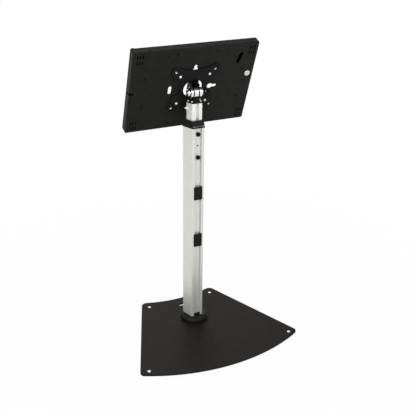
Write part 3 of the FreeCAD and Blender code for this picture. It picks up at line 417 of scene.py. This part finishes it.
# %% [markdown]
# ## A finish for every CAD node
# A CAD node whose shape is right stays as it is and only gets its finish. The record
# says which slot each node takes, so one loop dresses them all. Pieces made below hide
# the nodes that they stand for.

# %% Finishes on the CAD nodes
node_slot = {part["node"]: part["material_slot"] for part in frame["record"]["subparts"]}
node_body = {}
for body, members in frame["record"]["behaviour"]["bodies"].items():
    for node in members:
        node_body[node] = body
for node, thing in frame["nodes"].items():
    thing.data.materials.clear()
    thing.data.materials.append(FINISHES[node_slot[node]])
print("dressed nodes:", len(node_slot))

# %% [markdown]
# ## Softened edges
# Cut, folded and moulded edges are never razor sharp: a small round catches a line of
# light, which is what makes a dark piece readable. A CAD mesh is loose triangles, so a
# copy is welded, its flats are made whole again, and then every sharp edge is
# bevelled. Weighted normals keep the flats flat while the bevels shade smoothly.

# %% Helper for softened copies
SHARP = math.radians(28)
SHADED_SHARP = SHARP * 1.3
FLAT = math.radians(1)


def keep(shape, name, node, finish=None):
    """Turns a bmesh into a piece that stands for its node and rides with it."""
    mesh = bpy.data.meshes.new(name)
    shape.to_mesh(mesh)
    shape.free()
    for face in mesh.polygons:
        face.use_smooth = True
    mesh.set_sharp_from_angle(angle=SHADED_SHARP)
    piece = bpy.data.objects.new(name, mesh)
    bpy.context.scene.collection.objects.link(piece)
    weighted = piece.modifiers.new("flat faces", "WEIGHTED_NORMAL")
    weighted.keep_sharp = True
    mesh.materials.append(finish or FINISHES[node_slot[node]])
    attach(piece, node_body[node])
    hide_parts(node)
    return piece


def open_edges(shape):
    return sum(1 for edge in shape.edges if not edge.is_manifold)


def welded(node):
    """The node's mesh with its triangles joined and its flat faces made whole."""
    shape = bmesh.new()
    shape.from_mesh(frame["nodes"][node].data)
    bmesh.ops.remove_doubles(shape, verts=shape.verts, dist=1e-6)
    bmesh.ops.dissolve_limit(shape, angle_limit=FLAT, verts=shape.verts, edges=shape.edges)
    return shape


def soften(shape, width_mm, segments=2, least=SHARP):
    """Rounds every edge that is sharper than an angle."""
    sharp = [edge for edge in shape.edges if edge.is_manifold and edge.calc_face_angle(0) > least]
    bmesh.ops.bevel(
        shape, geom=sharp, offset=width_mm * MM, offset_type="OFFSET", segments=segments,
        profile=0.5, affect="EDGES", clamp_overlap=True, material=-1)
    return shape


def softened(node, name, width_mm, finish=None):
    shape = soften(welded(node), width_mm)
    print(name, "faces:", len(shape.faces), "open edges:", open_edges(shape))
    return keep(shape, name, node, finish)


def second_finish(piece, finish, chosen):
    """Gives another finish to the faces that a test picks by their middle and normal."""
    piece.data.materials.append(finish)
    count = 0
    for face in piece.data.polygons:
        if chosen(face.center, face.normal):
            face.material_index = 1
            count += 1
    print(piece.name, "faces with a second finish:", count)


# %% [markdown]
# ## Plates, tubes and mouldings
# These pieces keep the CAD's shape and only get softer edges. The width follows how
# each is made: a moulding or a casting has rounds of about half a millimetre, a sawn
# tube only a broken edge, and cut sheet something between.

# %% Softened pieces
for node, name, width in [
    ("foot_collar", "foot_cover", 0.5),
    ("outer_tube", "column_extrusion", 0.25),
    ("top_collar", "collar_moulding", 0.4),
    ("upper_cable_clip", "cable_clip_upper", 0.4),
    ("lower_cable_clip", "cable_clip_lower", 0.4),
    ("head_cap", "neck_casting", 0.5),
    ("tilt_bracket", "tilt_plate", 0.4),
    ("rear_shell", "enclosure_back", 0.25),
    ("front_frame", "enclosure_door", 0.25),
    ("upper_lock_screw", "height_screw_upper", 0.25),
    ("lower_lock_screw", "height_screw_lower", 0.25),
    ("lock_barrel", "lock_housing", 0.2),
    ("lock_core", "lock_plug", 0.15),
    ("lock_nut", "lock_ring_nut", 0.3),
    ("lock_cam", "lock_tongue", 0.2),
    ("hinge_nut", "tilt_nut", 0.4),
    ("side_stops", "side_brackets", 0.2),
    ("end_stops", "end_brackets", 0.2),
    ("vesa_nuts", "plate_nuts", 0.25),
    ("stud_nuts", "bracket_nuts", 0.2),
    ("upper_glide", "collar_liner", 0.2),
    ("tail_glide", "mast_shoe", 0.3),
    ("base_pads", "floor_pads", 0.25),
]:
    softened(node, name, width)
# The inner tube takes the paler aluminium: painted light against the enclosure's shade.
softened("inner_tube", "mast_extrusion", 0.2, MAST_ALUMINIUM_PAINTED_LIGHT)

# %% [markdown]
# ## Holes with bare metal
# The floor holes and the mounting plate's outer holes are drilled again after the paint
# is baked, so their walls are bare; they take the zinc finish, whose white is a painted
# highlight. Paint and bare metal belong to one piece, so the piece gets two finishes, and
# a face takes the second one if it lies close to a hole's axis and runs along it. The
# record's mounts give the axes.

# %% Base and mounting plate
HEAD_TILT = math.radians(20)
BACK = Vector((0, math.cos(HEAD_TILT), -math.sin(HEAD_TILT)))
HEAD_UP = Vector((0, math.sin(HEAD_TILT), math.cos(HEAD_TILT)))
ACROSS = Vector((1, 0, 0))
UP = Vector((0, 0, 1))
FLOOR_HOLE_REACH = 4.3 * MM
PLATE_HOLE_REACH = 3.2 * MM


def hole_centres(mount, axis_b):
    """The holes of one of the record's mounts, as points: a square, or a pair."""
    middle = Vector(mount["pos_m"])
    dims = mount["dims"]
    if "pcd_mm" in dims:
        half = dims["pcd_mm"] * MM / math.sqrt(8)
        corners = [(i, j) for i in (-1, 1) for j in (-1, 1)]
        return [middle + ACROSS * half * i + axis_b * half * j for i, j in corners]
    half = dims["spacing_x_mm"] * MM / 2
    return [middle - ACROSS * half, middle + ACROSS * half]


def bare_holes_with_painted_glint(piece, centres, axis, reach):
    """Gives the walls of some holes the zinc finish: bare metal, whose white is a painted
    highlight.
    """
    def on_wall(middle, normal):
        if abs(normal.dot(axis)) > 0.9:
            return False
        return any((middle - centre).cross(axis).length < reach for centre in centres)
    # The zinc's white on the hole walls is a painted highlight.
    second_finish(piece, ZINC_WITH_PAINTED_GLINT, on_wall)


mounts = {mount["name"]: mount for mount in frame["record"]["mounts"]}
floor_holes = hole_centres(mounts["floor_holes_front"], UP)
floor_holes += hole_centres(mounts["floor_holes_rear"], UP)
plate_holes = hole_centres(mounts["vesa_100"], HEAD_UP)
bare_holes_with_painted_glint(softened("base_plate", "base_steel", 0.6), floor_holes, UP, FLOOR_HOLE_REACH)
bare_holes_with_painted_glint(softened("vesa_plate", "mounting_plate", 0.4), plate_holes, BACK, PLATE_HOLE_REACH)

# %% [markdown]
# ## Turned parts
# Discs, washers and screws are made on a lathe, and here too: an outline of a few
# points is turned about Z, as circles of points with faces between them. Blender's own
# spin gives its faces in another order in each run, so it isn't used. An edge of the
# turned shape that should be round is then bevelled, which is easier to read than an
# outline with the arc in it. Each part is turned at the origin and then laid along its
# own axis. The axes come from the CAD: a node's separate solids are boxed, seen along
# the axis.

# %% Helpers for turned parts
TURN_STEPS = 48
RIM_STEPS = 4


def turned(outline_mm):
    """Turns an outline of (radius, height) points a full turn about Z.

    Each point gives a circle of them, and a point on the axis gives only itself. An
    outline that keeps off the axis is closed.
    """
    shape = bmesh.new()
    circles = []
    for radius, height in outline_mm:
        steps = TURN_STEPS if radius else 1
        turns = [math.tau * step / steps for step in range(steps)]
        places = [(radius * math.cos(turn), radius * math.sin(turn), height) for turn in turns]
        circle = [shape.verts.new(Vector(place) * MM) for place in places]
        circles.append(circle * (TURN_STEPS // steps))
    if outline_mm[0][0] > 0:
        circles.append(circles[0])
    for first, second in zip(circles, circles[1:]):
        for step in range(TURN_STEPS):
            corners = first[step - 1], first[step], second[step], second[step - 1]
            shape.faces.new(dict.fromkeys(corners))
    bmesh.ops.recalc_face_normals(shape, faces=shape.faces)
    return shape


def round_rims(shape, radius_mm, heights_mm, width_mm):
    """Rounds the rings of edges at one radius and some heights of a turned shape.

    They are bevelled together, because the faces of a second bevel come in another
    order in each run.
    """
    def on_rim(vert, height_mm):
        near = abs(math.hypot(vert.co.x, vert.co.y) - radius_mm * MM) < 1e-6
        return near and abs(vert.co.z - height_mm * MM) < 1e-6
    rims = [
        edge for height_mm in heights_mm for edge in shape.edges
        if all(on_rim(vert, height_mm) for vert in edge.verts)]
    bmesh.ops.bevel(
        shape, geom=rims, offset=width_mm * MM, offset_type="OFFSET", segments=RIM_STEPS,
        profile=0.5, affect="EDGES", clamp_overlap=True, material=-1)


def six_sided(shape, radius_mm, across_mm):
    """Moves the points at one radius onto a hexagon."""
    for vert in shape.verts:
        reach = math.hypot(vert.co.x, vert.co.y)
        if abs(reach - radius_mm * MM) < 1e-6:
            turn = math.atan2(vert.co.y, vert.co.x) % math.radians(60) - math.radians(30)
            grow = across_mm * MM / 2 / math.cos(turn) / reach
            vert.co.x *= grow
            vert.co.y *= grow


def along(direction):
    """The turn that lays Z along a direction."""
    return direction.to_track_quat("Z", "Y").to_matrix().to_4x4()


def solids(node, direction=UP):
    """Lowest and highest corner of each separate solid, seen with Z along a direction.

    They are sorted by place, so that they come in the same order in every run.
    """
    shape = welded(node)
    shape.transform(along(direction).inverted())
    boxes = []
    loose = set(shape.verts)
    while loose:
        found = [loose.pop()]
        for vert in found:
            for edge in vert.link_edges:
                other = edge.other_vert(vert)
                if other in loose:
                    loose.remove(other)
                    found.append(other)
        low = Vector([min(vert.co[i] for vert in found) for i in range(3)])
        high = Vector([max(vert.co[i] for vert in found) for i in range(3)])
        boxes.append((low, high))
    shape.free()
    return sorted(boxes, key=lambda box: tuple(box[0]))


def gathered(shapes):
    """Joins several bmeshes into one."""
    whole = bmesh.new()
    for shape in shapes:
        mesh = bpy.data.meshes.new("part")
        shape.to_mesh(mesh)
        shape.free()
        whole.from_mesh(mesh)
        bpy.data.meshes.remove(mesh)
    return whole


# %% [markdown]
# ## The tilt hinge
# Three chromed discs, two thin friction washers and two plain washers sit on one
# bolt. The discs' rims are plated and well rounded, and their flat sides are given the
# black oxide finish: painted shade, which gives the dark lines between the discs. Every
# ring has the outline of a rectangle beside the axis. The friction washers are a hair
# thinner than their gap, so that no two faces share a place when the head turns.

# %% Discs and washers of the hinge
HINGE_BORE = 4.05
DISC_RIM = 1.0
WASHER_FREE = 0.03


def rings(node, name, bore_mm, rim_mm, free_mm=0.0):
    """One turned ring for each solid of a node on the hinge's axis, thinned on both sides."""
    shapes = []
    for low, high in solids(node, ACROSS):
        radius = (high.x - low.x) / 2 / MM
        width = (high.z - low.z) / MM
        top = width - free_mm
        ring = turned([(bore_mm, free_mm), (radius, free_mm), (radius, top), (bore_mm, top)])
        round_rims(ring, radius, [free_mm, top], rim_mm)
        middle = (low + high) / 2
        ring.transform(along(ACROSS) @ Matrix.Translation((middle.x, middle.y, low.z)))
        shapes.append(ring)
    print(name, "rings:", len(shapes))
    return keep(gathered(shapes), name, node)


# The flat sides of the hinge discs, which are painted black as shade between the discs.
def on_shaded_side(middle, normal):
    return abs(normal.dot(ACROSS)) > 0.98


# Painted shade: the discs' flat sides take the black finish, for the dark lines between them.
second_finish(rings("centre_knuckle", "neck_disc", HINGE_BORE, DISC_RIM), BLACK_STEEL_AND_DISC_SHADE, on_shaded_side)
second_finish(rings("outer_knuckles", "fork_discs", HINGE_BORE, DISC_RIM), BLACK_STEEL_AND_DISC_SHADE, on_shaded_side)
rings("friction_washers", "friction_rings", HINGE_BORE, 0.4, WASHER_FREE)
rings("hinge_washers", "bolt_washers", HINGE_BORE, 0.3)

# %% [markdown]
# ## Screws
# A button screw has a low domed head with a hexagon socket. The dome is the bevelled
# rim of a plain head, and the socket is a round recess whose points are moved out onto
# a hexagon: with 48 steps, eight points lie on each side. Shanks reach as far as the
# CAD's do, and their ends are chamfered.

# %% Screws
def socket_screw(head_radius, head_height, shank_radius, length, across):
    depth = head_height * 0.6
    mouth = across / 2 * 1.05
    tip = shank_radius * 0.25
    screw = turned([
        (0, head_height - depth), (mouth, head_height - depth), (mouth, head_height),
        (head_radius, head_height), (head_radius, 0), (shank_radius, 0),
        (shank_radius, tip - length), (shank_radius - tip, -length), (0, -length)])
    dome = min(head_height * 0.55, head_radius - mouth - 0.3)
    round_rims(screw, head_radius, [head_height], dome)
    six_sided(screw, mouth, across)
    return screw


def screws(node, name, directions, head_height, shank_radius, across):
    """One screw for each solid of a node, its head towards its direction.

    A direction comes with the side of the stand that it serves: 1 is +X, -1 is -X and
    0 is both.
    """
    shapes = []
    for direction, side in directions:
        for low, high in solids(node, direction):
            middle = along(direction) @ ((low + high) / 2)
            if side and middle.x * side < 0:
                continue
            head_radius = (high.x - low.x) / 2 / MM
            length = (high.z - low.z) / MM - head_height
            screw = socket_screw(head_radius, head_height, shank_radius, length, across)
            seat = Vector(((low.x + high.x) / 2, (low.y + high.y) / 2, high.z - head_height * MM))
            screw.transform(along(direction) @ Matrix.Translation(seat))
            shapes.append(screw)
    print(name, "screws:", len(shapes))
    return keep(gathered(shapes), name, node)


SIDE_SLOPE = math.radians(18.4)
LEFT = Vector((math.cos(SIDE_SLOPE), math.sin(SIDE_SLOPE), 0))
RIGHT = Vector((-math.cos(SIDE_SLOPE), math.sin(SIDE_SLOPE), 0))
for node, name, directions, head_height, shank_radius, across in [
    ("cap_screws", "cap_fixings", [(UP, 0)], 1.3, 1.6, 2.5),
    ("stop_screws", "travel_stops", [(LEFT, 1), (RIGHT, -1)], 2.8, 2.0, 2.5),
    ("bracket_screws", "tilt_plate_screws", [(-BACK, 0)], 1.8, 2.5, 4.0),
    ("vesa_screws", "plate_screws", [(BACK, 0)], 2.0, 2.0, 2.5),
    ("hinge_bolt", "tilt_bolt", [(ACROSS, 0)], 2.8, 4.0, 5.0),
]:
    screws(node, name, directions, head_height, shank_radius, across)

# %% [markdown]
# ## Foam
# Strips of closed cell foam stop the tablet from rattling. Cut foam has no hard edges:
# the knife drags it and its own skin pulls in, so every edge is a full round. The pads
# behind the tablet are punched discs that bulge a little at the side.


def foam_strip(node, name, round_mm):
    strip = soften(welded(node), round_mm, 3)
    print(name, "faces:", len(strip.faces), "open edges:", open_edges(strip))
    piece = keep(strip, name, node)


foam_strip("bezel_gasket", "window_foam", 0.7)
foam_strip("stop_foam", "stop_cushions", 0.6)

discs = []
for low, high in solids("backing_pads", BACK):
    radius = (high.x - low.x) / 2 / MM
    height = (high.z - low.z) / MM
    disc = turned([
        (0, height), (radius * 0.7, height), (radius * 0.93, height * 0.92),
        (radius, height * 0.55), (radius * 0.97, height * 0.2), (radius * 0.92, 0), (0, 0)])
    seat = Vector(((low.x + high.x) / 2, (low.y + high.y) / 2, low.z))
    disc.transform(along(BACK) @ Matrix.Translation(seat))
    discs.append(disc)
back_pads = keep(gathered(discs), "back_cushions", "backing_pads")
print("foam pads:", len(discs))

# %% View transform, and the end
bpy.context.scene.view_settings.view_transform = "Standard"
